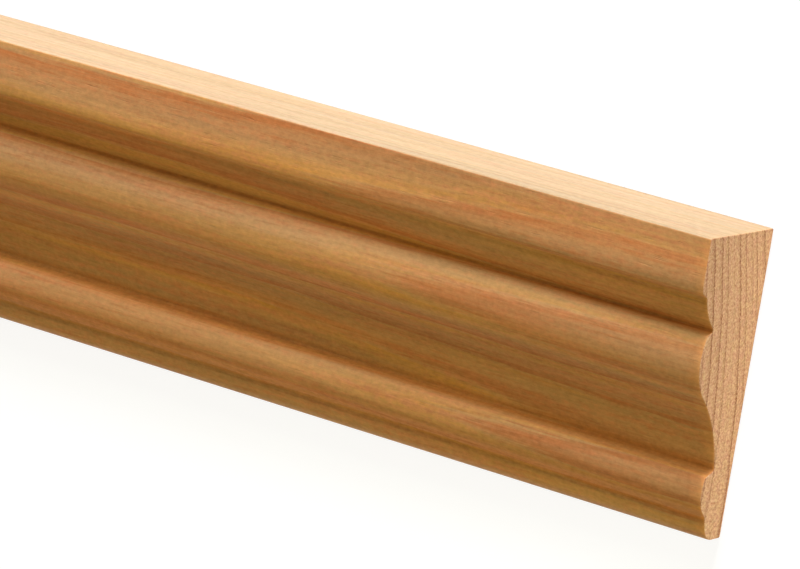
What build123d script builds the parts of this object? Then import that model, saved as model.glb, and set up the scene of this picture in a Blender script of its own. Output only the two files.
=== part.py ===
"""One length of decorative profile moulding, planed from a single softwood board.

The moulding lies on its flat back, as it is stored and as it goes against a wall.
X runs along its length, Y across its width towards the thick edge, and Z out of the
back towards the moulded face. The origin is in the middle of the back.

Across the face, from the thick edge to the thin one, it has these members:
fascia   a flat band whose lower side rolls over to an arris
step     a short steep drop below the fascia
ovolo    a convex slope that runs down into the quirk
quirk    a narrow groove that sets the ogee off
ogee     a convex crown that turns into a wide hollow
bead     a flattened round that stands between the hollow and the nose
nose     the thin edge, rounded over towards the back
"""

import os
from math import cos, radians, sin, sqrt

from build123d import *

# Stock sizes, in millimetres
LENGTH = 2400.0
WIDTH = 57.0
THICKNESS = 22.0  # at the fascia, the thickest member

# Fascia
FASCIA_FLAT_WIDTH = 7.4
FASCIA_ROLL_WIDTH = 2.6
FASCIA_ROLL_DROP = 0.45

# Step below the fascia
STEP_RUN = 0.9
STEP_DROP = 1.65

# Ovolo
OVOLO_WIDTH = 6.3
OVOLO_BULGE = 0.65  # rise of its curve above a straight chamfer

# Quirk
QUIRK_FLOOR = 15.4  # height above the back
QUIRK_WALL_RUN = 0.8
QUIRK_WALL_RISE = 1.8

# Ogee
OGEE_THICKNESS = 18.3  # at the top of its crown
CROWN_RADIUS = 9.5
HOLLOW_FLOOR = 6.5  # height above the back where the hollow meets the bead
HOLLOW_END_ANGLE = 12.5  # degrees that it still falls by there

# Bead
BEAD_WIDTH = 8.7  # from foot to foot
BEAD_HIGH_WALL_RUN = 1.0  # beside the hollow
BEAD_LOW_WALL_RUN = 1.35  # beside the nose
BEAD_HIGH_THICKNESS = 9.1  # at its arris beside the hollow
BEAD_LOW_THICKNESS = 8.4  # at its arris beside the nose
BEAD_BULGE = 0.95

# Nose
NOSE_WIDTH = 4.6
NOSE_THICKNESS = 6.95  # where it meets the bead
NOSE_FALL = 1.6  # drop of its face, before rounding, to the thin edge

# Radii of the corners
BACK_ARRIS_RADIUS = 0.4
FACE_ARRIS_RADIUS = 0.4
STEP_FOOT_RADIUS = 0.5
QUIRK_RADIUS = 0.4
QUIRK_LIP_RADIUS = 1.6
BEAD_FOOT_RADIUS = 0.6
BEAD_ARRIS_RADIUS = 1.1
NOSE_RADIUS = 3.4

THICK_EDGE = WIDTH / 2
THIN_EDGE = -WIDTH / 2


def beyond(point, toward_thin_edge, height):
    """The point that lies so far toward the thin edge of another, at a height above the back."""
    return (point[0] - toward_thin_edge, height)


# Corners of the section in (Y, Z), from the thick edge along the face to the thin edge
thick_back = (THICK_EDGE, 0)
thick_arris = (THICK_EDGE, THICKNESS)
fascia_roll = beyond(thick_arris, FASCIA_FLAT_WIDTH, THICKNESS)
fascia_arris = beyond(fascia_roll, FASCIA_ROLL_WIDTH, THICKNESS - FASCIA_ROLL_DROP)
step_foot = beyond(fascia_arris, STEP_RUN, fascia_arris[1] - STEP_DROP)
quirk_floor = beyond(step_foot, OVOLO_WIDTH, QUIRK_FLOOR)
quirk_lip = beyond(quirk_floor, QUIRK_WALL_RUN, QUIRK_FLOOR + QUIRK_WALL_RISE)

nose_corner = (THIN_EDGE, NOSE_THICKNESS - NOSE_FALL)
nose_foot = (THIN_EDGE + NOSE_WIDTH, NOSE_THICKNESS)
bead_low_arris = (nose_foot[0] + BEAD_LOW_WALL_RUN, BEAD_LOW_THICKNESS)
hollow_foot = (nose_foot[0] + BEAD_WIDTH, HOLLOW_FLOOR)
bead_high_arris = beyond(hollow_foot, BEAD_HIGH_WALL_RUN, BEAD_HIGH_THICKNESS)
thin_back = (THIN_EDGE, 0)

# The crown is a circle that passes through the quirk's lip and peaks at the ogee's thickness
crown_centre_height = OGEE_THICKNESS - CROWN_RADIUS
lip_above_centre = quirk_lip[1] - crown_centre_height
lip_to_peak = sqrt(CROWN_RADIUS**2 - lip_above_centre**2)
crown_centre = Vector(beyond(quirk_lip, lip_to_peak, crown_centre_height))
crown_peak = crown_centre + Vector(0, CROWN_RADIUS)

# The hollow is a circle that ends at its foot and touches the crown. Its centre lies square
# to its slope at the foot, as far off as makes the two radii add up to the centre distance.
up_from_foot = Vector(-sin(radians(HOLLOW_END_ANGLE)), cos(radians(HOLLOW_END_ANGLE)))
crown_to_foot = Vector(hollow_foot) - crown_centre
hollow_radius = (crown_to_foot.length**2 - CROWN_RADIUS**2) / (
    2 * (CROWN_RADIUS - crown_to_foot.dot(up_from_foot))
)
hollow_centre = Vector(hollow_foot) + up_from_foot * hollow_radius
crown_end = crown_centre + (hollow_centre - crown_centre).normalized() * CROWN_RADIUS

with BuildPart() as moulding:
    with BuildSketch(Plane.YZ.offset(-LENGTH / 2)) as section:
        with BuildLine():
            Line(thick_back, thick_arris)
            Line(thick_arris, fascia_roll)
            TangentArc(fascia_roll, fascia_arris, tangent=(-1, 0))
            Line(fascia_arris, step_foot)
            SagittaArc(step_foot, quirk_floor, -OVOLO_BULGE)
            Line(quirk_floor, quirk_lip)
            crown = ThreePointArc(quirk_lip, crown_peak, crown_end)
            TangentArc(crown_end, hollow_foot, tangent=crown % 1)
            Line(hollow_foot, bead_high_arris)
            SagittaArc(bead_high_arris, bead_low_arris, -BEAD_BULGE)
            Polyline(bead_low_arris, nose_foot, nose_corner, thin_back, thick_back)
        make_face()
        for corner, radius in (
            (thick_back, BACK_ARRIS_RADIUS),
            (thick_arris, FACE_ARRIS_RADIUS),
            (fascia_arris, FACE_ARRIS_RADIUS),
            (step_foot, STEP_FOOT_RADIUS),
            (quirk_floor, QUIRK_RADIUS),
            (quirk_lip, QUIRK_LIP_RADIUS),
            (hollow_foot, BEAD_FOOT_RADIUS),
            (bead_high_arris, BEAD_ARRIS_RADIUS),
            (bead_low_arris, BEAD_ARRIS_RADIUS),
            (nose_foot, BEAD_FOOT_RADIUS),
            (nose_corner, NOSE_RADIUS),
            (thin_back, BACK_ARRIS_RADIUS),
        ):
            fillet(section.vertices().sort_by_distance(corner)[0], radius)
    extrude(amount=LENGTH)

moulding.part.label = "moulding"

os.makedirs("parts", exist_ok=True)
export_step(moulding.part, "parts/moulding.step")
print("hollow radius", round(hollow_radius, 2), "mm")
print("section area", round(section.sketch.area, 1), "mm2")
print("volume", round(moulding.part.volume), "mm3")
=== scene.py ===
# %% [markdown]
# # A length of decorative profile moulding
# This is one stick of softwood trim, planed to a shaped section and cut square at both ends.
# It lies on its flat back with the moulded face up, and the camera looks down on its near end.
# X runs along the stick, Y across it towards the thick edge, Z up out of the back. Metres.

# %% The imported model
from math import cos, pi, radians, sin, sqrt, tan

import bpy
from mathutils import Matrix, Vector, noise
from mathutils.geometry import interpolate_bezier


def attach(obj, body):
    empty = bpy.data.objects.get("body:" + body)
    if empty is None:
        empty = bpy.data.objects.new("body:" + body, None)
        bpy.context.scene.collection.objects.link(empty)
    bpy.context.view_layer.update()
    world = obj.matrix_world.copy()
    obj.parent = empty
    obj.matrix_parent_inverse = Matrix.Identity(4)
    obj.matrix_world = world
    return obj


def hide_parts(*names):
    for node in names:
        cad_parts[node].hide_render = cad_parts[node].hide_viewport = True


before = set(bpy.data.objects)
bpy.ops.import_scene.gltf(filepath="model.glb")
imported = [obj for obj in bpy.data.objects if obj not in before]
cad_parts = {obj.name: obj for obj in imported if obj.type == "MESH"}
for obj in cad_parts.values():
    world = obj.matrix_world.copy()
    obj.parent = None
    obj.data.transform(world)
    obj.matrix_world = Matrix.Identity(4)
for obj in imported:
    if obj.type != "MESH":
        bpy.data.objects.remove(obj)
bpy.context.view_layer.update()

# %% [markdown]
# ## The section
# A moulding is one outline pushed along a line, so all of its shape is in that outline.
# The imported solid's curves have facets half a millimetre off, which would show this close.
# So the outline is drawn again here from the same sizes, with close points on every curve.
# Its corners are (Y, Z) in millimetres, as they are before the cutter's radii round them.

# %% Sizes of the members, in millimetres
MM = 0.001
LENGTH, WIDTH, THICKNESS = 2400.0, 57.0, 22.0
THICK_EDGE = WIDTH / 2
OVOLO_BULGE = 0.65  # how far its curve stands off a straight chamfer
CROWN_RADIUS = 9.5
CROWN_HEIGHT = 18.3
HOLLOW_END_ANGLE = radians(12.5)  # how steeply it still falls at its foot
BEAD_BULGE = 0.95


def from_thick_edge(across, height):
    """A point of the section, by its distance from the thick edge and height above the back."""
    return Vector((THICK_EDGE - across, height))


thick_back = from_thick_edge(0, 0)
thick_arris = from_thick_edge(0, THICKNESS)
fascia_roll = from_thick_edge(7.4, THICKNESS)
fascia_arris = from_thick_edge(10.0, THICKNESS - 0.45)
step_foot = from_thick_edge(10.9, THICKNESS - 2.1)
quirk_floor = from_thick_edge(17.2, 15.4)
quirk_lip = from_thick_edge(18.0, 17.2)
hollow_foot = from_thick_edge(43.7, 6.5)
bead_high_arris = from_thick_edge(44.7, 9.1)
bead_low_arris = from_thick_edge(51.05, 8.4)
nose_foot = from_thick_edge(52.4, 6.95)
nose_corner = from_thick_edge(WIDTH, 5.35)
thin_back = from_thick_edge(WIDTH, 0)
print("section in mm:", WIDTH, "by", THICKNESS, "length:", LENGTH)

# %% [markdown]
# ## Arcs and rounded corners
# Four small helpers draw the runs between the corners: a straight run, an arc about a centre,
# the centre of an arc with a given bulge, and that of an arc that leaves in a given direction.
# A Bevel modifier could round the corners, but it gives every corner the same number of points
# and can't follow curved runs closely. So two more helpers do it where two runs meet. They cut
# both back by the right distance and join them with a Bezier whose handles lie along the runs,
# which is a circle to within a hair.

# %% Helpers that draw the runs
WIDE, MIDDLING, FINE = 0.5, 0.25, 0.2  # how far apart the points of a run lie, in millimetres


def straight(a, b, pitch=WIDE):
    """Points from a to b at about the given pitch."""
    steps = max(1, round((b - a).length / pitch))
    return [a.lerp(b, i / steps) for i in range(steps + 1)]


def arc_about(centre, a, b, pitch=MIDDLING):
    """Points on the short way round a centre from a to b."""
    spoke = a - centre
    swing = spoke.angle_signed(b - centre)
    steps = max(6, round(abs(swing) * spoke.length / pitch))
    return [centre + Matrix.Rotation(-swing * i / steps, 2) @ spoke for i in range(steps + 1)]


def centre_of_bulge(a, b, bulge):
    """The centre of the arc from a to b that stands off its chord, on the right of travel."""
    half = (b - a).length / 2
    radius = (half**2 + bulge**2) / (2 * bulge)
    left = Vector((a.y - b.y, b.x - a.x)).normalized()
    return (a + b) / 2 + left * (radius - bulge)


def centre_from_start(a, heading, b):
    """The centre of the arc that leaves a along a heading and reaches b."""
    left = Vector((-heading.y, heading.x)).normalized()
    return a + left * (b - a).length_squared / (2 * (b - a).dot(left))


def cut_back(run, distance):
    """The run without its first part, as long as the distance."""
    run = list(run)
    while (run[1] - run[0]).length < distance:
        distance -= (run[1] - run[0]).length
        run.pop(0)
    run[0] = run[0] + (run[1] - run[0]).normalized() * distance
    return run


print("points down the thick edge:", len(straight(thick_back, thick_arris)))

# %% Helper that rounds the corners
ROUNDING_STEP = radians(6)


def rounded(members):
    """One closed outline from (run, radius) pairs. A radius rounds the corner where its run starts."""
    runs = [run for run, radius in members]
    radii = [radius for run, radius in members]
    corners = []
    for i, radius in enumerate(radii):
        arriving = (runs[i - 1][-1] - runs[i - 1][-2]).normalized()
        leaving = (runs[i][1] - runs[i][0]).normalized()
        turn = arriving.angle(leaving)
        runs[i] = cut_back(runs[i], radius * tan(turn / 2))
        runs[i - 1] = cut_back(runs[i - 1][::-1], radius * tan(turn / 2))[::-1]
        corners.append((radius, turn))
    outline = []
    for i, (radius, turn) in enumerate(corners):
        before, after = runs[i - 1], runs[i]
        reach = 4 / 3 * tan(turn / 4) * radius
        leave = before[-1] + (before[-1] - before[-2]).normalized() * reach
        enter = after[0] - (after[1] - after[0]).normalized() * reach
        steps = max(6, round(turn / ROUNDING_STEP))
        outline += interpolate_bezier(before[-1], leave, enter, after[0], steps + 1)[:-1]
        outline += after[:-1]
    return outline


print("a square corner is rounded in", round(radians(90) / ROUNDING_STEP), "steps")

# %% [markdown]
# ## The ogee
# The ogee is the big wave in the middle: a convex crown that turns into a wide hollow.
# Both are circles. The crown passes the quirk's lip and peaks at a set height. The hollow ends
# at the bead's foot at a set slope and touches the crown, which fixes its radius.
# The outline then lists every run with the radius of the corner where it starts.

# %% Centres of the two circles
crown_centre_height = CROWN_HEIGHT - CROWN_RADIUS
lip_to_peak = sqrt(CROWN_RADIUS**2 - (quirk_lip.y - crown_centre_height) ** 2)
crown_centre = Vector((quirk_lip.x - lip_to_peak, crown_centre_height))
up_from_foot = Vector((-sin(HOLLOW_END_ANGLE), cos(HOLLOW_END_ANGLE)))
crown_to_foot = hollow_foot - crown_centre
hollow_radius = (crown_to_foot.length_squared - CROWN_RADIUS**2) / (
    2 * (CROWN_RADIUS - crown_to_foot.dot(up_from_foot))
)
hollow_centre = hollow_foot + up_from_foot * hollow_radius
crown_end = crown_centre + (hollow_centre - crown_centre).normalized() * CROWN_RADIUS
print("radius of the hollow in mm:", round(hollow_radius, 2))

# %% The outline of the section
roll_centre = centre_from_start(fascia_roll, Vector((-1, 0)), fascia_arris)
fascia = straight(thick_arris, fascia_roll)[:-1] + arc_about(roll_centre, fascia_roll, fascia_arris)
ovolo_centre = centre_of_bulge(step_foot, quirk_floor, OVOLO_BULGE)
crown = arc_about(crown_centre, quirk_lip, crown_end)
hollow = arc_about(hollow_centre, crown_end, hollow_foot)
bead_centre = centre_of_bulge(bead_high_arris, bead_low_arris, BEAD_BULGE)
outline = rounded(
    [
        (straight(thick_back, thick_arris), 0.4),
        (fascia, 0.4),
        (straight(fascia_arris, step_foot, FINE), 0.4),
        (arc_about(ovolo_centre, step_foot, quirk_floor), 0.5),
        (straight(quirk_floor, quirk_lip, FINE), 0.4),
        (crown[:-1] + hollow, 1.6),
        (straight(hollow_foot, bead_high_arris, FINE), 0.6),
        (arc_about(bead_centre, bead_high_arris, bead_low_arris), 1.1),
        (straight(bead_low_arris, nose_foot, FINE), 1.1),
        (straight(nose_foot, nose_corner, MIDDLING), 0.6),
        (straight(nose_corner, thin_back, MIDDLING), 3.4),
        (straight(thin_back, thick_back), 0.4),
    ]
)
print("outline points:", len(outline))

# %% [markdown]
# ## The stick
# The outline is swept from end to end. Real stock is dead straight, so a few stations do.
# A crosscut saw frays the last half millimetre of every arris, so there the outline shrinks
# by a tenth or two, unevenly from fibre to fibre. That thin broken line catches light.
# Noise that depends on the place alone gives the same fray each time. The mesh also gets a
# map: the long faces unrolled side by side and both ends beside them, for a picture of the wood.

# %% Helpers that fray the ends
FRAY = ((0.0, 0.20), (0.08, 0.09), (0.25, 0.03), (0.7, 0.0))  # (behind the cut, depth), in mm
FIBRES_PER_MM, CHIPS_PER_MM = 2.3, 0.5
LEAST_FRAY, MORE_FRAY = 0.35, 0.9  # shares of the depth: everywhere, and by fibre and chip
FAR_SEED, NEAR_SEED, CHIP_SEED = 3.0, 11.0, 7


def inward(points, i):
    """The direction into the wood at one point of the outline."""
    along = points[(i + 1) % len(points)] - points[i - 1]
    return Vector((-along.y, along.x)).normalized()


def fray(points, depth, seed):
    """The outline drawn in by an uneven depth, in millimetres."""
    drawn_in = []
    for i, p in enumerate(points):
        by_fibre, by_chip = p * FIBRES_PER_MM, p * CHIPS_PER_MM
        fibre = 0.5 + 0.5 * noise.noise(Vector((*by_fibre, seed)))
        chip = 0.5 + 0.5 * noise.noise(Vector((*by_chip, seed + CHIP_SEED)))
        drawn_in.append(p + inward(points, i) * depth * (LEAST_FRAY + MORE_FRAY * fibre * chip))
    return drawn_in


deepest = max((p - q).length for p, q in zip(outline, fray(outline, FRAY[0][1], NEAR_SEED)))
print("deepest fray in mm:", round(deepest, 2))

# %% Sweep the outline
STATIONS_EVERY = 100  # mm, between the ends
half = int(LENGTH / 2)
far = [(-half + back, fray(outline, depth, FAR_SEED)) for back, depth in FRAY]
near = [(half - back, fray(outline, depth, NEAR_SEED)) for back, depth in reversed(FRAY)]
between = [(x, outline) for x in range(STATIONS_EVERY - half, half, STATIONS_EVERY)]
stations = far + between + near

count, strips = len(outline), len(stations) - 1
verts = [(x * MM, p.x * MM, p.y * MM) for x, points in stations for p in points]
faces = []
for strip in range(strips):
    for i in range(count):
        here, beside = strip * count + i, strip * count + (i + 1) % count
        faces.append((here, beside, beside + count, here + count))
faces.append(tuple(reversed(range(count))))
faces.append(tuple(range(len(verts) - count, len(verts))))

stick_mesh = bpy.data.meshes.new("moulding_stick")
stick_mesh.from_pydata(verts, [], faces)
stick = bpy.data.objects.new("moulding_stick", stick_mesh)
bpy.context.scene.collection.objects.link(stick)
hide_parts("moulding")
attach(stick, "root")
print("stick:", len(verts), "points,", len(faces), "faces, closed:", not stick_mesh.validate())

# %% Share the faces out between the finishes, and lay out the map
MOULDED, PLAIN, SAWN = range(3)
LONG_PART = 0.72  # of the map's height, for the long faces
END_WIDTH, END_HEIGHT, GAP = 0.48, 0.25, 0.02  # of the map, for each sawn end
NEAR_END_FROM, FAR_END_FROM = 0.01, 0.51  # of the map's width
NEAR_THE_EDGE = 0.15  # mm
SHARP_FROM = radians(40)  # faces that turn more than this keep a crisp edge
around = [0.0]
for i in range(count):
    around.append(around[-1] + (outline[(i + 1) % count] - outline[i]).length)
girth = around[-1]

stick_map = stick_mesh.uv_layers.new(name="OFBake")
for face in stick_mesh.polygons:
    strip, i = divmod(face.index, count)
    if strip == strips:  # the two ends come last
        face.material_index = SAWN
        left = NEAR_END_FROM if face.normal.x > 0 else FAR_END_FROM
        for corner, v in zip(face.loop_indices, face.vertices):
            y, z = verts[v][1] / MM + THICK_EDGE, verts[v][2] / MM
            spot = (left + END_WIDTH * y / WIDTH, LONG_PART + GAP + END_HEIGHT * z / THICKNESS)
            stick_map.uv[corner].vector = spot
        continue
    face.use_smooth = True
    middle = (outline[i] + outline[(i + 1) % count]) / 2
    edge_or_back = middle.x > THICK_EDGE - NEAR_THE_EDGE or middle.y < NEAR_THE_EDGE
    face.material_index = PLAIN if edge_or_back else MOULDED
    if strip in (0, strips - 1):
        face.material_index = SAWN
    for corner, v, step in zip(face.loop_indices, face.vertices, (0, 1, 1, 0)):
        spot = (verts[v][0] / MM / LENGTH + 0.5, LONG_PART * around[i + step] / girth)
        stick_map.uv[corner].vector = spot
stick_mesh.set_sharp_from_angle(angle=SHARP_FROM)
print("round the section in mm:", round(girth, 1))

# %% [markdown]
# ## How wood is coloured here
# A board's pattern isn't printed on its faces. It is the tree's growth rings, cut at an angle.
# So one ring field fills the space of the whole stick, and every face shows its own cut of it:
# fine lines across the ends, and long soft streaks on the moulded face, wide where the face
# runs nearly level with the rings. The next cells give short names to the nodes this needs.

# %% Short names for plain numbers
def feed(tree, socket, value):
    """Plugs a socket into another, or sets it to a plain value."""
    if isinstance(value, bpy.types.NodeSocket):
        tree.links.new(value, socket)
    else:
        socket.default_value = value


def calc(tree, operation, *values):
    """A Math node. Returns its result."""
    node = tree.nodes.new("ShaderNodeMath")
    node.operation = operation
    for socket, value in zip(node.inputs, values):
        feed(tree, socket, value)
    return node.outputs[0]


def total(tree, *values):
    """The sum of several values."""
    result = values[0]
    for value in values[1:]:
        result = calc(tree, "ADD", result, value)
    return result


def spread(tree, value, low, high, to_low=0.0, to_high=1.0, smooth=False):
    """A Map Range node: where value lies between low and high, held at its ends."""
    node = tree.nodes.new("ShaderNodeMapRange")
    node.interpolation_type = "SMOOTHSTEP" if smooth else "LINEAR"
    for socket, given in zip(node.inputs, (value, low, high, to_low, to_high)):
        feed(tree, socket, given)
    return node.outputs[0]


def curve(tree, value, points):
    """A Float Curve node with straight runs between its points, all between 0 and 1."""
    node = tree.nodes.new("ShaderNodeFloatCurve")
    line = node.mapping.curves[0]
    for x, y in points[1:-1]:
        line.points.new(x, y)
    for point, (x, y) in zip(line.points, points):
        point.location, point.handle_type = (x, y), "VECTOR"
    node.mapping.update()
    feed(tree, node.inputs["Value"], value)
    return node.outputs[0]


print("helpers for numbers ready")

# %% Short names for places and patterns
def place(tree, x, y, z):
    """A Combine XYZ node."""
    node = tree.nodes.new("ShaderNodeCombineXYZ")
    for socket, value in zip(node.inputs, (x, y, z)):
        feed(tree, socket, value)
    return node.outputs[0]


def parts(tree, vector):
    """A Separate XYZ node. Returns its three outputs."""
    node = tree.nodes.new("ShaderNodeSeparateXYZ")
    feed(tree, node.inputs[0], vector)
    return node.outputs


def clouds(tree, spot, size, shift=0.0, detail=2.0, roughness=0.5):
    """A Noise node, 0 to 1. size is how large its clouds are along each of spot's directions."""
    scaled = [calc(tree, "DIVIDE", value, length) for value, length in zip(spot, size)]
    scaled[0] = calc(tree, "ADD", scaled[0], shift)
    node = tree.nodes.new("ShaderNodeTexNoise")
    settings = {"Vector": place(tree, *scaled), "Scale": 1.0, "Detail": detail, "Roughness": roughness}
    for name, value in settings.items():
        feed(tree, node.inputs[name], value)
    return node.outputs[0]


def swing(tree, noise_value, amount):
    """Turns a noise's 0 to 1 into a number that swings about zero."""
    return calc(tree, "MULTIPLY", calc(tree, "SUBTRACT", noise_value, 0.5), amount)


print("helpers for patterns ready")

# %% Short names for colours
def blend(tree, factor, under, over, mode="MIX"):
    """A Mix Color node."""
    node = tree.nodes.new("ShaderNodeMix")
    node.data_type, node.blend_type = "RGBA", mode
    for i, value in ((0, factor), (6, under), (7, over)):  # this node's sockets for colours
        feed(tree, node.inputs[i], value)
    return node.outputs[2]


def shaded(tree, colour, shade):
    """A colour made lighter or darker by a factor."""
    return blend(tree, 1.0, colour, place(tree, shade, shade, shade), "MULTIPLY")


def paint(red, green, blue):
    """A colour read off a screen, 0 to 255, as the linear light that shaders use."""
    light = [c / 3294.6 if c <= 10.3 else ((c / 255 + 0.055) / 1.055) ** 2.4 for c in (red, green, blue)]
    return (*light, 1.0)


print("a mid wood tone as linear light:", [round(c, 3) for c in paint(184, 127, 66)])

# %% Short names for node groups
def new_group(name, takes, gives):
    """An empty shader node group with named inputs and outputs."""
    tree = bpy.data.node_groups.new(name, "ShaderNodeTree")
    for label, kind in takes:
        tree.interface.new_socket(label, in_out="INPUT", socket_type="NodeSocket" + kind)
    for label, kind in gives:
        tree.interface.new_socket(label, in_out="OUTPUT", socket_type="NodeSocket" + kind)
    return tree, tree.nodes.new("NodeGroupInput").outputs, tree.nodes.new("NodeGroupOutput").inputs


def use_group(tree, group, **values):
    """Places a group in a material. Returns its outputs."""
    node = tree.nodes.new("ShaderNodeGroup")
    node.node_tree = group
    for name, value in values.items():
        feed(tree, node.inputs[name.replace("_", " ")], value)
    return node.outputs


print("helpers for groups ready")

# %% [markdown]
# ## Growth rings
# Seen on the sawn end, the rings are arcs about the heart of the tree, which lies 111 mm above
# the back. They aren't evenly spaced: wide years and narrow ones follow each other, all widen
# towards the thin edge, and some end in a strong dark line, some in a faint one. So the years
# are listed here by radius.
# The trunk wasn't quite straight, so along the stick the rings sink and rise by a few
# millimetres. On the moulded face that turns every ring into a long slanting streak.
# The group puts out how far through its year a spot is, how strong that year's dark line is,
# and the spot in the grain's own directions: along it, across the rings, and round the heart.

# %% The years
HEART_ACROSS, HEART_HEIGHT = 44.9, 110.9  # mm from the thick edge, and above the back
FIRST_RADIUS, LAST_RADIUS = 88.0, 128.0  # mm, the span in which years are counted
YEAR_ENDS = (  # (radius, strength of the dark line)
    (89.5, 0.5), (92.6, 0.5), (95.67, 0.6), (98.55, 0.88), (101.58, 0.77), (103.85, 0.6), (106.4, 0.15),
    (108.7, 0.9), (110.94, 0.6), (113.4, 0.35), (115.1, 0.64), (118.36, 0.7), (121.5, 0.7), (124.5, 0.6),
)
LAST_STRENGTH = 0.4
YEARS = len(YEAR_ENDS) + 1
AFTER_DARK = 0.08  # the share of a year in which its dark line fades out
FANNING = 0.00757  # the share by which years widen with each mm towards the thin edge
mean_width = (YEAR_ENDS[-1][0] - YEAR_ENDS[0][0]) / (len(YEAR_ENDS) - 1)
print("years:", YEARS, "mean width in mm:", round(mean_width, 2))

# %% A group for growth rings: how far from the heart a spot grew
# The trunk's own bends, in millimetres: a dip near the end, long waves, and small wobbles
DIP, DIP_FROM, DIP_TO = 2.0, 5.0, 125.0
WAVES, WAVES_FROM, WAVES_TO, WAVE_LENGTH = 14.0, 100.0, 500.0, 330.0
WOBBLE, WOBBLE_SIZE = 0.9, (70.0, 9.0, 9.0)

rings_group, given, made = new_group(
    "Growth rings",
    [("Place", "Vector")],
    [("Year", "Float"), ("Strength", "Float"), ("Grain place", "Vector")],
)
nodes = rings_group
x, y, z = parts(nodes, given["Place"])
behind_end = calc(nodes, "MULTIPLY_ADD", x, -1 / MM, LENGTH / 2)
across = calc(nodes, "MULTIPLY_ADD", y, -1 / MM, THICK_EDGE - HEART_ACROSS)
below_heart = calc(nodes, "MULTIPLY_ADD", z, -1 / MM, HEART_HEIGHT)
squares = total(nodes, calc(nodes, "POWER", across, 2.0), calc(nodes, "POWER", below_heart, 2.0))
from_heart = calc(nodes, "SQRT", squares)
from_middle = calc(nodes, "ADD", across, HEART_ACROSS - WIDTH / 2)
mid_depth = HEART_HEIGHT - THICKNESS / 2
lift = calc(nodes, "MULTIPLY_ADD", below_heart, -FANNING, FANNING * mid_depth)
fan = calc(nodes, "MULTIPLY", from_middle, lift)

dip = spread(nodes, behind_end, DIP_FROM, DIP_TO, 0.0, DIP, smooth=True)
wave = clouds(nodes, (behind_end, 0.0, 0.0), (WAVE_LENGTH, 1.0, 1.0), shift=4.0, detail=1.0)
height = spread(nodes, behind_end, WAVES_FROM, WAVES_TO, 0.0, WAVES, smooth=True)
bend = calc(nodes, "MULTIPLY", swing(nodes, wave, 1.0), height)
spot = (behind_end, across, below_heart)
wobble = swing(nodes, clouds(nodes, spot, WOBBLE_SIZE), WOBBLE)
grown = total(nodes, from_heart, fan, dip, bend, wobble)
print("nodes so far:", len(nodes.nodes))

# %% The same group: which year that is, and how strong its line
RAGGED, RAGGED_SIZE = 0.9, (16.0, 0.5, 0.5)  # mm, how unevenly each dark line is edged
ragged = swing(nodes, clouds(nodes, spot, RAGGED_SIZE, roughness=0.6), RAGGED)
span = LAST_RADIUS - FIRST_RADIUS
ends = [(end - FIRST_RADIUS) / span for end, strength in YEAR_ENDS]
counted = [(end, (i + 1) / YEARS) for i, end in enumerate(ends)]
within = spread(nodes, calc(nodes, "ADD", grown, ragged), FIRST_RADIUS, LAST_RADIUS)
years = curve(nodes, within, [(0.0, 0.0)] + counted + [(1.0, 1.0)])
years = calc(nodes, "MULTIPLY_ADD", years, YEARS, -AFTER_DARK)
feed(nodes, made["Year"], calc(nodes, "FRACT", years))

ramp_node = nodes.nodes.new("ShaderNodeValToRGB")
ramp_node.color_ramp.interpolation = "CONSTANT"
stops = ramp_node.color_ramp.elements
while len(stops) < YEARS:
    stops.new(1.0)
for i, strength in enumerate([strength for end, strength in YEAR_ENDS] + [LAST_STRENGTH]):
    stops[i].position, stops[i].color = i / YEARS, (strength, strength, strength, 1.0)
mid_year = calc(nodes, "ADD", calc(nodes, "FLOOR", years), 0.5)
feed(nodes, ramp_node.inputs[0], calc(nodes, "DIVIDE", mid_year, YEARS))
feed(nodes, made["Strength"], ramp_node.outputs[0])

round_heart = calc(nodes, "MULTIPLY", calc(nodes, "ARCTAN2", across, below_heart), HEART_HEIGHT)
feed(nodes, made["Grain place"], place(nodes, behind_end, grown, round_heart))
print("nodes in the group:", len(nodes.nodes))

# %% [markdown]
# ## Fibres, mottle and pores
# Wood is a bundle of fibres. Along the stick they show as hair-fine streaks, in bundles, with
# short dark dashes where late wood or a resin duct was cut open. The knife leaves a faint wool
# of torn fibres, which is finer still and has a tint of its own.
# Slow changes from greyish to warm, and from light to dark, wander through the wood; a slow
# wave of light and dark along the stick is painted light. Close to a sawn end the wood is painted
# a little brighter and warmer: painted light, that of the end lamp leaking into the wood.
# Across the end the same fibres are cut to a fine speckle, crossed by rays that point at the
# heart. All are noise laid out in the grain's own directions, so they bend with the rings.
# Each noise has a size in millimetres along the grain, across the rings and round the heart.
# Its shift only moves it, so that no two patterns fall together.

# %% A group for long fibres
BUNDLE_WIDTH, BUNDLE_LENGTH = 2.6, 7.0  # times those of one fibre
WOOL_SIZE, TINT_SIZE = (1.2, 0.9, 0.9), (1.6, 0.8, 0.8)
DASH_SIZE, DUCT_SIZE = (11.0, 0.6, 0.8), (4.0, 0.25, 0.25)
fibres_group, given, made = new_group(
    "Long fibres",
    [("Grain place", "Vector"), ("Width", "Float"), ("Length", "Float")],
    [("Tone", "Float"), ("Ducts", "Float"), ("Wool", "Float"), ("Dashes", "Float")],
)
nodes = fibres_group
grain = parts(nodes, given["Grain place"])
width, length = given["Width"], given["Length"]
hair = clouds(nodes, grain, (length, width, width), detail=3.0, roughness=0.7)
thick = calc(nodes, "MULTIPLY", width, BUNDLE_WIDTH)
long = calc(nodes, "MULTIPLY", length, BUNDLE_LENGTH)
bundle = clouds(nodes, grain, (long, thick, thick), shift=31.0)
wool = clouds(nodes, grain, WOOL_SIZE, shift=19.0, roughness=0.7)
tone = total(nodes, 0.5, swing(nodes, hair, 0.8), swing(nodes, bundle, 0.6), swing(nodes, wool, 1.0))
feed(nodes, made["Tone"], tone)
tint = clouds(nodes, grain, TINT_SIZE, shift=93.0, detail=1.0)
feed(nodes, made["Wool"], swing(nodes, tint, 1.0))
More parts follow.
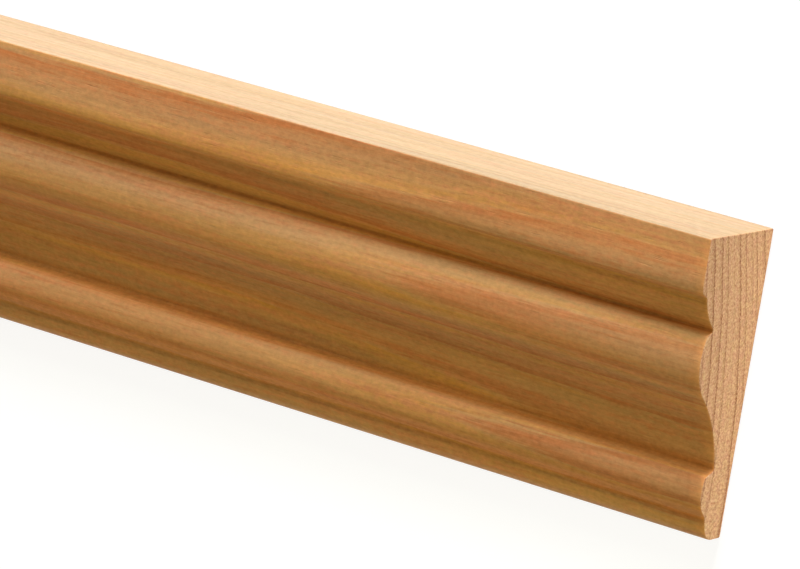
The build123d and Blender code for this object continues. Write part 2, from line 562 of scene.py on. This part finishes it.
dashes = clouds(nodes, grain, DASH_SIZE, shift=57.0, detail=1.0)
feed(nodes, made["Dashes"], spread(nodes, dashes, 0.6, 0.7))
duct = clouds(nodes, grain, DUCT_SIZE, shift=77.0, detail=0.0)
feed(nodes, made["Ducts"], spread(nodes, duct, 0.72, 0.8))
print("outputs:", [socket.name for socket in made if socket.name])

# %% A group for slow mottle
PATCHES = (  # (output, size in mm, shift, the noise at which it starts, and at which it is full)
    ("Warm", (60.0, 2.6, 4.0), 12.0, 0.3, 0.7),
    ("Pale", (90.0, 4.0, 8.0), 53.0, 0.3, 0.7),
    ("Red", (45.0, 1.2, 1.8), 41.0, 0.45, 0.68),
)
LIGHT_SIZE = (120.0, 5.0, 7.0)
DRIFT_LENGTH, DRIFT_START, PAINTED_LIGHT_DRIFT = 330, -1.43, 0.09  # a slow wave of light and dark
CUT_LIGHT_FROM, CUT_LIGHT_TO = -0.6, 3.2  # mm behind the cut
UNEVEN, UNEVEN_SIZE = 1.5, (3.0, 0.7, 0.7)

mottle_group, given, made = new_group(
    "Slow mottle",
    [("Grain place", "Vector")],
    [("Warm", "Float"), ("Pale", "Float"), ("Red", "Float"), ("Light", "Float"), ("Painted light by the cut", "Float")],
)
nodes = mottle_group
grain = parts(nodes, given["Grain place"])
for output, size, shift, low, high in PATCHES:
    feed(nodes, made[output], spread(nodes, clouds(nodes, grain, size, shift), low, high))
# Painted light: a slow sine wave of brighter and darker along the stick, for light that falls unevenly
painted_light_drift = calc(nodes, "SINE", calc(nodes, "MULTIPLY_ADD", grain[0], 2 * pi / DRIFT_LENGTH, DRIFT_START))
light = swing(nodes, clouds(nodes, grain, LIGHT_SIZE, shift=64.0), 1.0)
feed(nodes, made["Light"], calc(nodes, "MULTIPLY_ADD", painted_light_drift, PAINTED_LIGHT_DRIFT, light))
# Painted light near the sawn ends, where the end lamp's light leaks into the wood
from_end = calc(nodes, "MINIMUM", grain[0], calc(nodes, "SUBTRACT", LENGTH, grain[0]))
uneven = swing(nodes, clouds(nodes, grain, UNEVEN_SIZE, shift=8.0), UNEVEN)
from_end = total(nodes, from_end, uneven)
feed(nodes, made["Painted light by the cut"], spread(nodes, from_end, CUT_LIGHT_FROM, CUT_LIGHT_TO, 1.0, 0.0, smooth=True))
print("outputs:", [socket.name for socket in made if socket.name])

# %% A group for cut pores
PORE_LENGTH = 40.0  # mm, far deeper than the ends are frayed
RAY_SIZE, WARM_SIZE = (PORE_LENGTH, 3.0, 0.5), (PORE_LENGTH, 1.3, 2.2)
pores_group, given, made = new_group(
    "Cut pores",
    [("Grain place", "Vector"), ("Width", "Float")],
    [("Tone", "Float"), ("Rays", "Float"), ("Warm", "Float")],
)
nodes = pores_group
grain = parts(nodes, given["Grain place"])
width = given["Width"]
feed(nodes, made["Tone"], clouds(nodes, grain, (PORE_LENGTH, width, width), roughness=0.75))
rays = clouds(nodes, grain, RAY_SIZE, shift=9.0, detail=1.0)
feed(nodes, made["Rays"], spread(nodes, rays, 0.5, 0.72))
warm = clouds(nodes, grain, WARM_SIZE, shift=25.0)
feed(nodes, made["Warm"], spread(nodes, warm, 0.3, 0.7))
print("outputs:", [socket.name for socket in made if socket.name])

# %% [markdown]
# ## Corners
# Inner corners of planed wood are painted darker, partly for fine dust that stays in them and
# partly as painted shade, and warmer, as painted light that bounces there from wood to wood.
# Both are painted in narrow soft bands beside the foot of each member. They keep to the face,
# so that nothing shows on the back below.

# %% A group for corners: dust and painted shade, and painted bounce light
FACE_STARTS = (3.0, 4.0)  # mm above the back
CORE, DUST_AND_SHADE_REACH = 0.15, 0.7  # mm, from the middle of a band
# Each dark band is partly dust and partly painted shade
DUSTY_AND_SHADED = (  # (foot, how far past it in mm, how dark)
    (step_foot, 0.8, 0.13),
    (quirk_floor, -0.1, 0.08),
    (hollow_foot, -0.1, 0.1),
    (nose_foot, 0.8, 0.18),
)
# Where painted bounce light warms a corner
GLOWING = (  # (foot, how far past it, reach), in mm
    (quirk_floor, 0.0, 0.9),
    (hollow_foot, -0.2, 2.0),
    (nose_foot, -0.7, 2.2),
)

corners_group, given, made = new_group(
    "Corners", [("Place", "Vector")], [("Dust and shade", "Float"), ("Glow", "Float")]
)
nodes = corners_group
x, y, z = parts(nodes, given["Place"])
place_across = calc(nodes, "MULTIPLY", y, 1 / MM)
on_the_face = spread(nodes, z, FACE_STARTS[0] * MM, FACE_STARTS[1] * MM)


def band(foot, past, reach, strongest):
    """A soft band along the stick, so far past a foot toward the thin edge. Reach in mm."""
    off = calc(nodes, "ABSOLUTE", calc(nodes, "SUBTRACT", place_across, foot.x - past))
    return spread(nodes, off, CORE, reach, strongest, 0.0, smooth=True)


dust_and_shade, glow = 0.0, 0.0
for foot, past, strongest in DUSTY_AND_SHADED:
    dust_and_shade = calc(nodes, "MAXIMUM", dust_and_shade, band(foot, past, DUST_AND_SHADE_REACH, strongest))
for foot, past, reach in GLOWING:
    glow = calc(nodes, "MAXIMUM", glow, band(foot, past, reach, 1.0))
feed(nodes, made["Dust and shade"], calc(nodes, "MULTIPLY", dust_and_shade, on_the_face))
feed(nodes, made["Glow"], calc(nodes, "MULTIPLY", glow, on_the_face))
print("dusty corners:", len(DUSTY_AND_SHADED), "glowing corners:", len(GLOWING))

# %% [markdown]
# ## The three finishes
# All three are the same wood. The moulded face was cut by a spinning knife and is smooth, with
# a soft sheen. The edges and back were only planed flat; they are painted paler, which is painted
# light for the bright, washed-out thick edge that faces the main lamp. The ends are sawn, so
# they are matt and rough, and the rings stand out as dark lines.
# Each finish is a Principled shader of its own that takes its patterns from the groups.

# %% Helpers for a wood finish
def start_wood(name):
    """A material with a Principled shader. Returns its tree, shader, ring outputs and place."""
    wood = bpy.data.materials.new(name)
    wood.use_nodes = True
    tree = wood.node_tree
    where = tree.nodes.new("ShaderNodeTexCoord").outputs["Object"]
    stick_mesh.materials.append(wood)
    return tree, tree.nodes["Principled BSDF"], use_group(tree, rings_group, Place=where), where


def relief(tree, shader, height, depth):
    """Presses a height of 0 to 1 into the surface, so many metres deep."""
    bump = tree.nodes.new("ShaderNodeBump")
    bump.inputs["Distance"].default_value = depth
    feed(tree, bump.inputs["Height"], height)
    feed(tree, shader.inputs["Normal"], bump.outputs["Normal"])


print("helpers for finishes ready")

# %% [markdown]
# ## Wood cut along its grain
# Through each year the colour runs from pale early wood to brown late wood, which is densest
# at the dark line. Past the line, the first early wood has a golden tone where it is warm.
# Grey mottle lies under the gold and red mottle over it. The late wood covers both, and over
# all lie the dashes, the painted light by the cut and the painted bounce light in the corners.
# So the colours are laid over each other one by one, each with its own share.

# %% How much each colour and shade tells
LATE_WOOD = [(0.0, 0.0), (0.3, 0.0), (0.75, 0.45), (0.9, 1.0), (1.0, 0.0)]  # (part of year, share)
PAST_THE_LINE = [(0.0, 0.3), (0.08, 1.0), (0.25, 0.5), (0.5, 0.0), (1.0, 0.3)]
FIBRE_WIDTH, FIBRE_LENGTH = 0.55, 5.0  # mm
# The colour of the painted bounce light in the corners
PAINTED_BOUNCE_LIGHT = paint(196, 117, 20)
# Shares of each colour: everywhere, and where its own mask is full
GOLD_ANYWHERE, GOLD_WHERE_WARM = 0.2, 0.7
DASHES_ANYWHERE, DASHES_IN_LATE_WOOD = 0.25, 0.6
RED_MOTTLE, RED_WOOL, CUT_LIGHT_SHARE, CORNER_BOUNCE_SHARE = 0.6, 1.4, 0.55, 0.4
# Shares of each shade, times the finish's contrast
DUCT_SHADE, SLOW_SHADE = 0.6, 4.5
DUCT_DEPTH = 0.8  # against the fibres' own relief
DARKEST_TONE, PALEST_TONE, ROUGHER = 0.2, 0.8, 0.06
print("late wood is densest at", max(LATE_WOOD, key=lambda point: point[1])[0], "of its year")

# %% A recipe for wood cut along its grain
# cut is the colour of the painted light near the sawn ends
def long_grain(name, early, late, gold, grey, rosy, cut, contrast, sheen, roughness, depth):
    """Wood cut along its grain: rings as soft streaks, mottle, and fibres."""
    tree, shader, ring, where = start_wood(name)
    grain = ring["Grain place"]
    fibre = use_group(tree, fibres_group, Grain_place=grain, Width=FIBRE_WIDTH, Length=FIBRE_LENGTH)
    mottle = use_group(tree, mottle_group, Grain_place=grain)
    corner = use_group(tree, corners_group, Place=where)

    late_wood = calc(tree, "MULTIPLY", curve(tree, ring["Year"], LATE_WOOD), ring["Strength"])
    golden = calc(tree, "MULTIPLY_ADD", mottle["Warm"], GOLD_WHERE_WARM, GOLD_ANYWHERE)
    golden = calc(tree, "MULTIPLY", curve(tree, ring["Year"], PAST_THE_LINE), golden)
    woolly = calc(tree, "MULTIPLY", fibre["Wool"], RED_WOOL)
    redness = calc(tree, "MULTIPLY_ADD", mottle["Red"], RED_MOTTLE, woolly)
    dashes = calc(tree, "MULTIPLY_ADD", late_wood, DASHES_IN_LATE_WOOD, DASHES_ANYWHERE)
    dashes = calc(tree, "MULTIPLY", fibre["Dashes"], dashes)
    # painted light: the end lamp's light leaking in near the sawn ends
    painted_light_by_cut = calc(tree, "MULTIPLY", mottle["Painted light by the cut"], CUT_LIGHT_SHARE)
    # painted bounce light in the corners
    glow = calc(tree, "MULTIPLY", corner["Glow"], CORNER_BOUNCE_SHARE)

    colour = blend(tree, mottle["Pale"], early, grey)
    for share, over in (
        (golden, gold),
        (redness, rosy),
        (late_wood, late),
        (dashes, late),
        (painted_light_by_cut, cut),
        (glow, PAINTED_BOUNCE_LIGHT),
    ):
        colour = blend(tree, share, colour, over)

    tone = fibre["Tone"]
    shade = spread(tree, tone, DARKEST_TONE, PALEST_TONE, 1.0 - contrast, 1.0 + contrast)
    in_ducts = calc(tree, "MULTIPLY", fibre["Ducts"], DUCT_SHADE * contrast)
    shade = calc(tree, "SUBTRACT", shade, in_ducts)
    # slow tone mottle, and the painted wave of light along the stick
    shade = calc(tree, "MULTIPLY_ADD", mottle["Light"], SLOW_SHADE * contrast, shade)
    # corners made darker: partly dust, partly painted shade
    shade = calc(tree, "SUBTRACT", shade, corner["Dust and shade"])
    feed(tree, shader.inputs["Base Color"], shaded(tree, colour, shade))

    matt = spread(tree, tone, DARKEST_TONE, PALEST_TONE, roughness + ROUGHER, roughness - ROUGHER)
    feed(tree, shader.inputs["Roughness"], matt)
    shader.inputs["Specular IOR Level"].default_value = sheen
    height = calc(tree, "SUBTRACT", tone, calc(tree, "MULTIPLY", fibre["Ducts"], DUCT_DEPTH))
    relief(tree, shader, height, depth)


print("recipe for long grain ready")

# %% Moulded face and plain faces
long_grain(
    "moulded_face",
    early=paint(184, 140, 90),
    late=paint(176, 107, 61),
    gold=paint(196, 140, 66),
    grey=paint(178, 141, 99),
    rosy=paint(193, 129, 86),
    cut=paint(210, 149, 89),
    contrast=0.16,
    sheen=0.12,
    roughness=0.5,
    depth=0.00003,
)
# Painted paler than the moulded face: painted light for the brightly lit thick edge
long_grain(
    "planed_edge",
    early=paint(181, 160, 119),
    late=paint(176, 147, 103),
    gold=paint(187, 159, 106),
    grey=paint(179, 164, 131),
    rosy=paint(188, 150, 117),
    cut=paint(186, 158, 112),
    contrast=0.11,
    sheen=0.25,
    roughness=0.55,
    depth=0.00001,
)
print("finishes so far:", [m.name for m in stick_mesh.materials])

# %% [markdown]
# ## Sawn ends
# A saw cuts straight across the fibres, so every fibre shows as an open pore. Pores hold
# shadow, and the wood between them is cream in some places and pinkish in others. The end gets
# slightly lighter towards the back, and its last half millimetre there is a little warmer.

# %% Sawn ends
SAWN_LINE = [(0.0, 0.0), (0.45, 0.0), (0.8, 0.35), (0.92, 1.0), (0.98, 0.0), (1.0, 0.0)]
PORE_WIDTH = 0.56  # mm
LINE_IN_PORES, LINE_BETWEEN = 1.25, 0.85  # how strong a dark line is there
SHADE_IN_PORES, SHADE_BETWEEN = 0.59, 1.34
RAYS_DARKER, BESIDE_RAYS = 0.13, 1.03
SHADE_AT_BACK, SHADE_AT_FACE = 1.13, 0.92
WARM_FROM, WARM_TO, WARMTH = 0.2, 0.8, 0.2  # it fades out between these mm above the back
LINE_DEPTH = 0.4  # against the pores' own relief

tree, shader, ring, where = start_wood("sawn_end")
pores = use_group(tree, pores_group, Grain_place=ring["Grain place"], Width=PORE_WIDTH)
height = parts(tree, where)[2]
line = calc(tree, "MULTIPLY", curve(tree, ring["Year"], SAWN_LINE), ring["Strength"])
line = calc(tree, "MULTIPLY", line, spread(tree, pores["Tone"], 0.3, 0.7, LINE_IN_PORES, LINE_BETWEEN))

pinkish = blend(tree, pores["Warm"], paint(197, 143, 97), paint(198, 137, 102))
cream = blend(tree, pores["Warm"], paint(195, 165, 119), paint(198, 160, 123))
colour = blend(tree, spread(tree, pores["Tone"], 0.3, 0.6), pinkish, cream)
colour = blend(tree, line, colour, paint(130, 79, 43))
warm_edge = spread(tree, height, WARM_FROM * MM, WARM_TO * MM, WARMTH, 0.0)
colour = blend(tree, warm_edge, colour, paint(206, 142, 88))

shade = spread(tree, pores["Tone"], DARKEST_TONE, PALEST_TONE, SHADE_IN_PORES, SHADE_BETWEEN)
by_rays = calc(tree, "MULTIPLY_ADD", pores["Rays"], -RAYS_DARKER, BESIDE_RAYS)
shade = calc(tree, "MULTIPLY", shade, by_rays)
by_height = spread(tree, height, 0.0, THICKNESS * MM, SHADE_AT_BACK, SHADE_AT_FACE)
shade = calc(tree, "MULTIPLY", shade, by_height)
feed(tree, shader.inputs["Base Color"], shaded(tree, colour, shade))
shader.inputs["Roughness"].default_value = 0.8
shader.inputs["Specular IOR Level"].default_value = 0.15
raised = calc(tree, "SUBTRACT", pores["Tone"], calc(tree, "MULTIPLY", line, LINE_DEPTH))
relief(tree, shader, raised, depth=0.00008)
print("finishes:", [m.name for m in stick_mesh.materials])

# %% [markdown]
# ## Floor and room
# The stick lies on a plain white floor in a plain white room. White paint alone would need
# strong lamps to look white, and those would bleach the wood. So the floor glows a little where
# the camera sees it, or sees it in a gloss or through glass, and keeps only a soft shadow.
# The light that it throws back on the wood stays that of a pale floor.

# %% What sees the plain white
def seen_directly(tree):
    """1 for rays from the camera, from gloss and through glass, which see the plain white."""
    path = tree.nodes.new("ShaderNodeLightPath").outputs
    either = calc(tree, "MAXIMUM", path["Is Camera Ray"], path["Is Glossy Ray"])
    return calc(tree, "MAXIMUM", either, path["Is Transmission Ray"])


print("test for direct rays ready")

# %% A floor that looks white
FLOOR_REACH, FLOOR_HEIGHT = 12.0, -0.0003  # a hair below the back, so that the two never share a plane
PALE_GREY, DIM_GREY = (0.8, 0.8, 0.8, 1.0), (0.18, 0.18, 0.18, 1.0)
GLOW = 0.88  # with the dim grey's own light it comes to white

floor_mesh = bpy.data.meshes.new("floor")
corners = ((-1, -1), (1, -1), (1, 1), (-1, 1))
square = [(x * FLOOR_REACH, y * FLOOR_REACH, FLOOR_HEIGHT) for x, y in corners]
floor_mesh.from_pydata(square, [], [(0, 1, 2, 3)])
floor = bpy.data.objects.new("floor", floor_mesh)
bpy.context.scene.collection.objects.link(floor)

floor_white = bpy.data.materials.new("floor_white")
floor_white.use_nodes = True
tree = floor_white.node_tree
tree.nodes.clear()
matt = tree.nodes.new("ShaderNodeBsdfDiffuse")
feed(tree, matt.inputs["Color"], blend(tree, seen_directly(tree), PALE_GREY, DIM_GREY))
glow = tree.nodes.new("ShaderNodeEmission")
feed(tree, glow.inputs["Strength"], calc(tree, "MULTIPLY", seen_directly(tree), GLOW))
both = tree.nodes.new("ShaderNodeAddShader")
feed(tree, both.inputs[0], matt.outputs[0])
feed(tree, both.inputs[1], glow.outputs[0])
feed(tree, tree.nodes.new("ShaderNodeOutputMaterial").inputs["Surface"], both.outputs[0])
floor_mesh.materials.append(floor_white)
print("floor in metres:", 2 * FLOOR_REACH, "square")

# %% A room that looks white
ROOM_LIGHT, ROOM_STRENGTH = (1.0, 0.58, 0.1, 1.0), 0.06  # what bounces round a room with wood in it

room = bpy.data.worlds.new("white_room")
bpy.context.scene.world = room
room.use_nodes = True
tree = room.node_tree
tree.nodes.clear()
soft = tree.nodes.new("ShaderNodeBackground")
soft.inputs["Color"].default_value = ROOM_LIGHT
soft.inputs["Strength"].default_value = ROOM_STRENGTH
white = tree.nodes.new("ShaderNodeBackground")
white.inputs["Color"].default_value = (1.0, 1.0, 1.0, 1.0)
mixed = tree.nodes.new("ShaderNodeMixShader")
feed(tree, mixed.inputs[0], seen_directly(tree))
feed(tree, mixed.inputs[1], soft.outputs[0])
feed(tree, mixed.inputs[2], white.outputs[0])
feed(tree, tree.nodes.new("ShaderNodeOutputWorld").inputs["Surface"], mixed.outputs[0])
print("room light:", ROOM_STRENGTH)

# %% [markdown]
# ## Lamps
# The main light comes low from behind the thick edge, so that edge is brightest, the tops of
# the members are lit at a slant, and the slopes that face away stay in shade. A wide soft box
# isn't one colour from top to bottom, so it is three lamps at three heights, one above the other.
# A high lamp lightens the flats. Two weak warm fills from the thin side, and a small one near
# the end, open up the shade. The last lamp shines along the stick on the sawn end.
# Lamps far off light the whole stick alike, which a small lamp close by wouldn't do.

# %% Lamps
def far_lamp(name, toward, strength, width, colour):
    """A lamp so far off that it lights the whole stick alike, as wide as an angle in degrees."""
    lamp = bpy.data.lights.new(name, "SUN")
    lamp.energy, lamp.angle, lamp.color = strength, radians(width), colour
    holder = bpy.data.objects.new(name, lamp)
    holder.rotation_euler = Vector(toward).to_track_quat("Z", "Y").to_euler()
    bpy.context.scene.collection.objects.link(holder)


def near_lamp(name, at, aim, power, size, colour):
    """A small square lamp close by, whose light fades along the stick. Power in watts."""
    lamp = bpy.data.lights.new(name, "AREA")
    lamp.energy, lamp.size, lamp.color = power, size, colour
    holder = bpy.data.objects.new(name, lamp)
    holder.location = at
    holder.rotation_euler = (Vector(at) - Vector(aim)).to_track_quat("Z", "Y").to_euler()
    bpy.context.scene.collection.objects.link(holder)


def height_angle(degrees):
    """A direction square to the stick: 0 is level behind the thick edge, 90 is straight up."""
    return (0.0, cos(radians(degrees)), sin(radians(degrees)))


far_lamp("main_lamp", height_angle(22), 2.75, 16, (1.0, 1.08, 1.5))
far_lamp("main_lamp_lower", height_angle(12), 1.16, 16, (1.0, 0.45, 0.05))
far_lamp("main_lamp_upper", height_angle(34), 1.04, 16, (1.0, 1.09, 0.88))
far_lamp("high_lamp", height_angle(60), 0.38, 30, (1.0, 0.84, 0.4))
far_lamp("fill_lamp", height_angle(135), 0.4, 30, (1.0, 0.66, 0.03))
far_lamp("fill_lamp_lower", height_angle(157), 0.22, 30, (1.0, 0.57, 0.1))
near_lamp("near_fill_lamp", (1.26, -0.18, 0.26), (1.17, 0.0, 0.01), 0.2, 0.12, (1.0, 1.12, 0.75))
far_lamp("end_lamp", (1.0, 0.1, 0.0), 3.5, 12, (1.0, 0.957, 0.98))
print("lamps:", len(bpy.data.lights))

# %% [markdown]
# ## Camera
# The long edges of the stick meet at one far point in the photograph, and the cut end is known
# to be square. Together they give the lens and the place of the camera exactly. It is a long
# lens from most of a metre away, looking down at the near end and rolled on its side a little.

# %% Camera
CAMERA_PLACE = (1.62706, 0.20335, 0.81315)
RIGHT, UP, AHEAD = (
    Vector((0.82296, 0.15520, -0.54649)),
    Vector((-0.24321, 0.96559, -0.09206)),
    Vector((-0.51340, -0.20868, -0.83239)),
)
LENS, SENSOR = 238.6, 36.0  # mm

view = bpy.data.cameras.new("camera")
view.lens, view.sensor_width = LENS, SENSOR
view.clip_start, view.clip_end = 0.01, 100.0
camera = bpy.data.objects.new("camera", view)
turned = Matrix((RIGHT, UP, -AHEAD)).transposed().to_4x4()
camera.matrix_world = Matrix.Translation(CAMERA_PLACE) @ turned
bpy.context.scene.collection.objects.link(camera)
bpy.context.scene.camera = camera
bpy.context.scene.view_settings.view_transform = "Standard"
print("camera at", [round(c, 3) for c in camera.location], "lens in mm:", view.lens)

# %% Finish
bpy.context.view_layer.update()
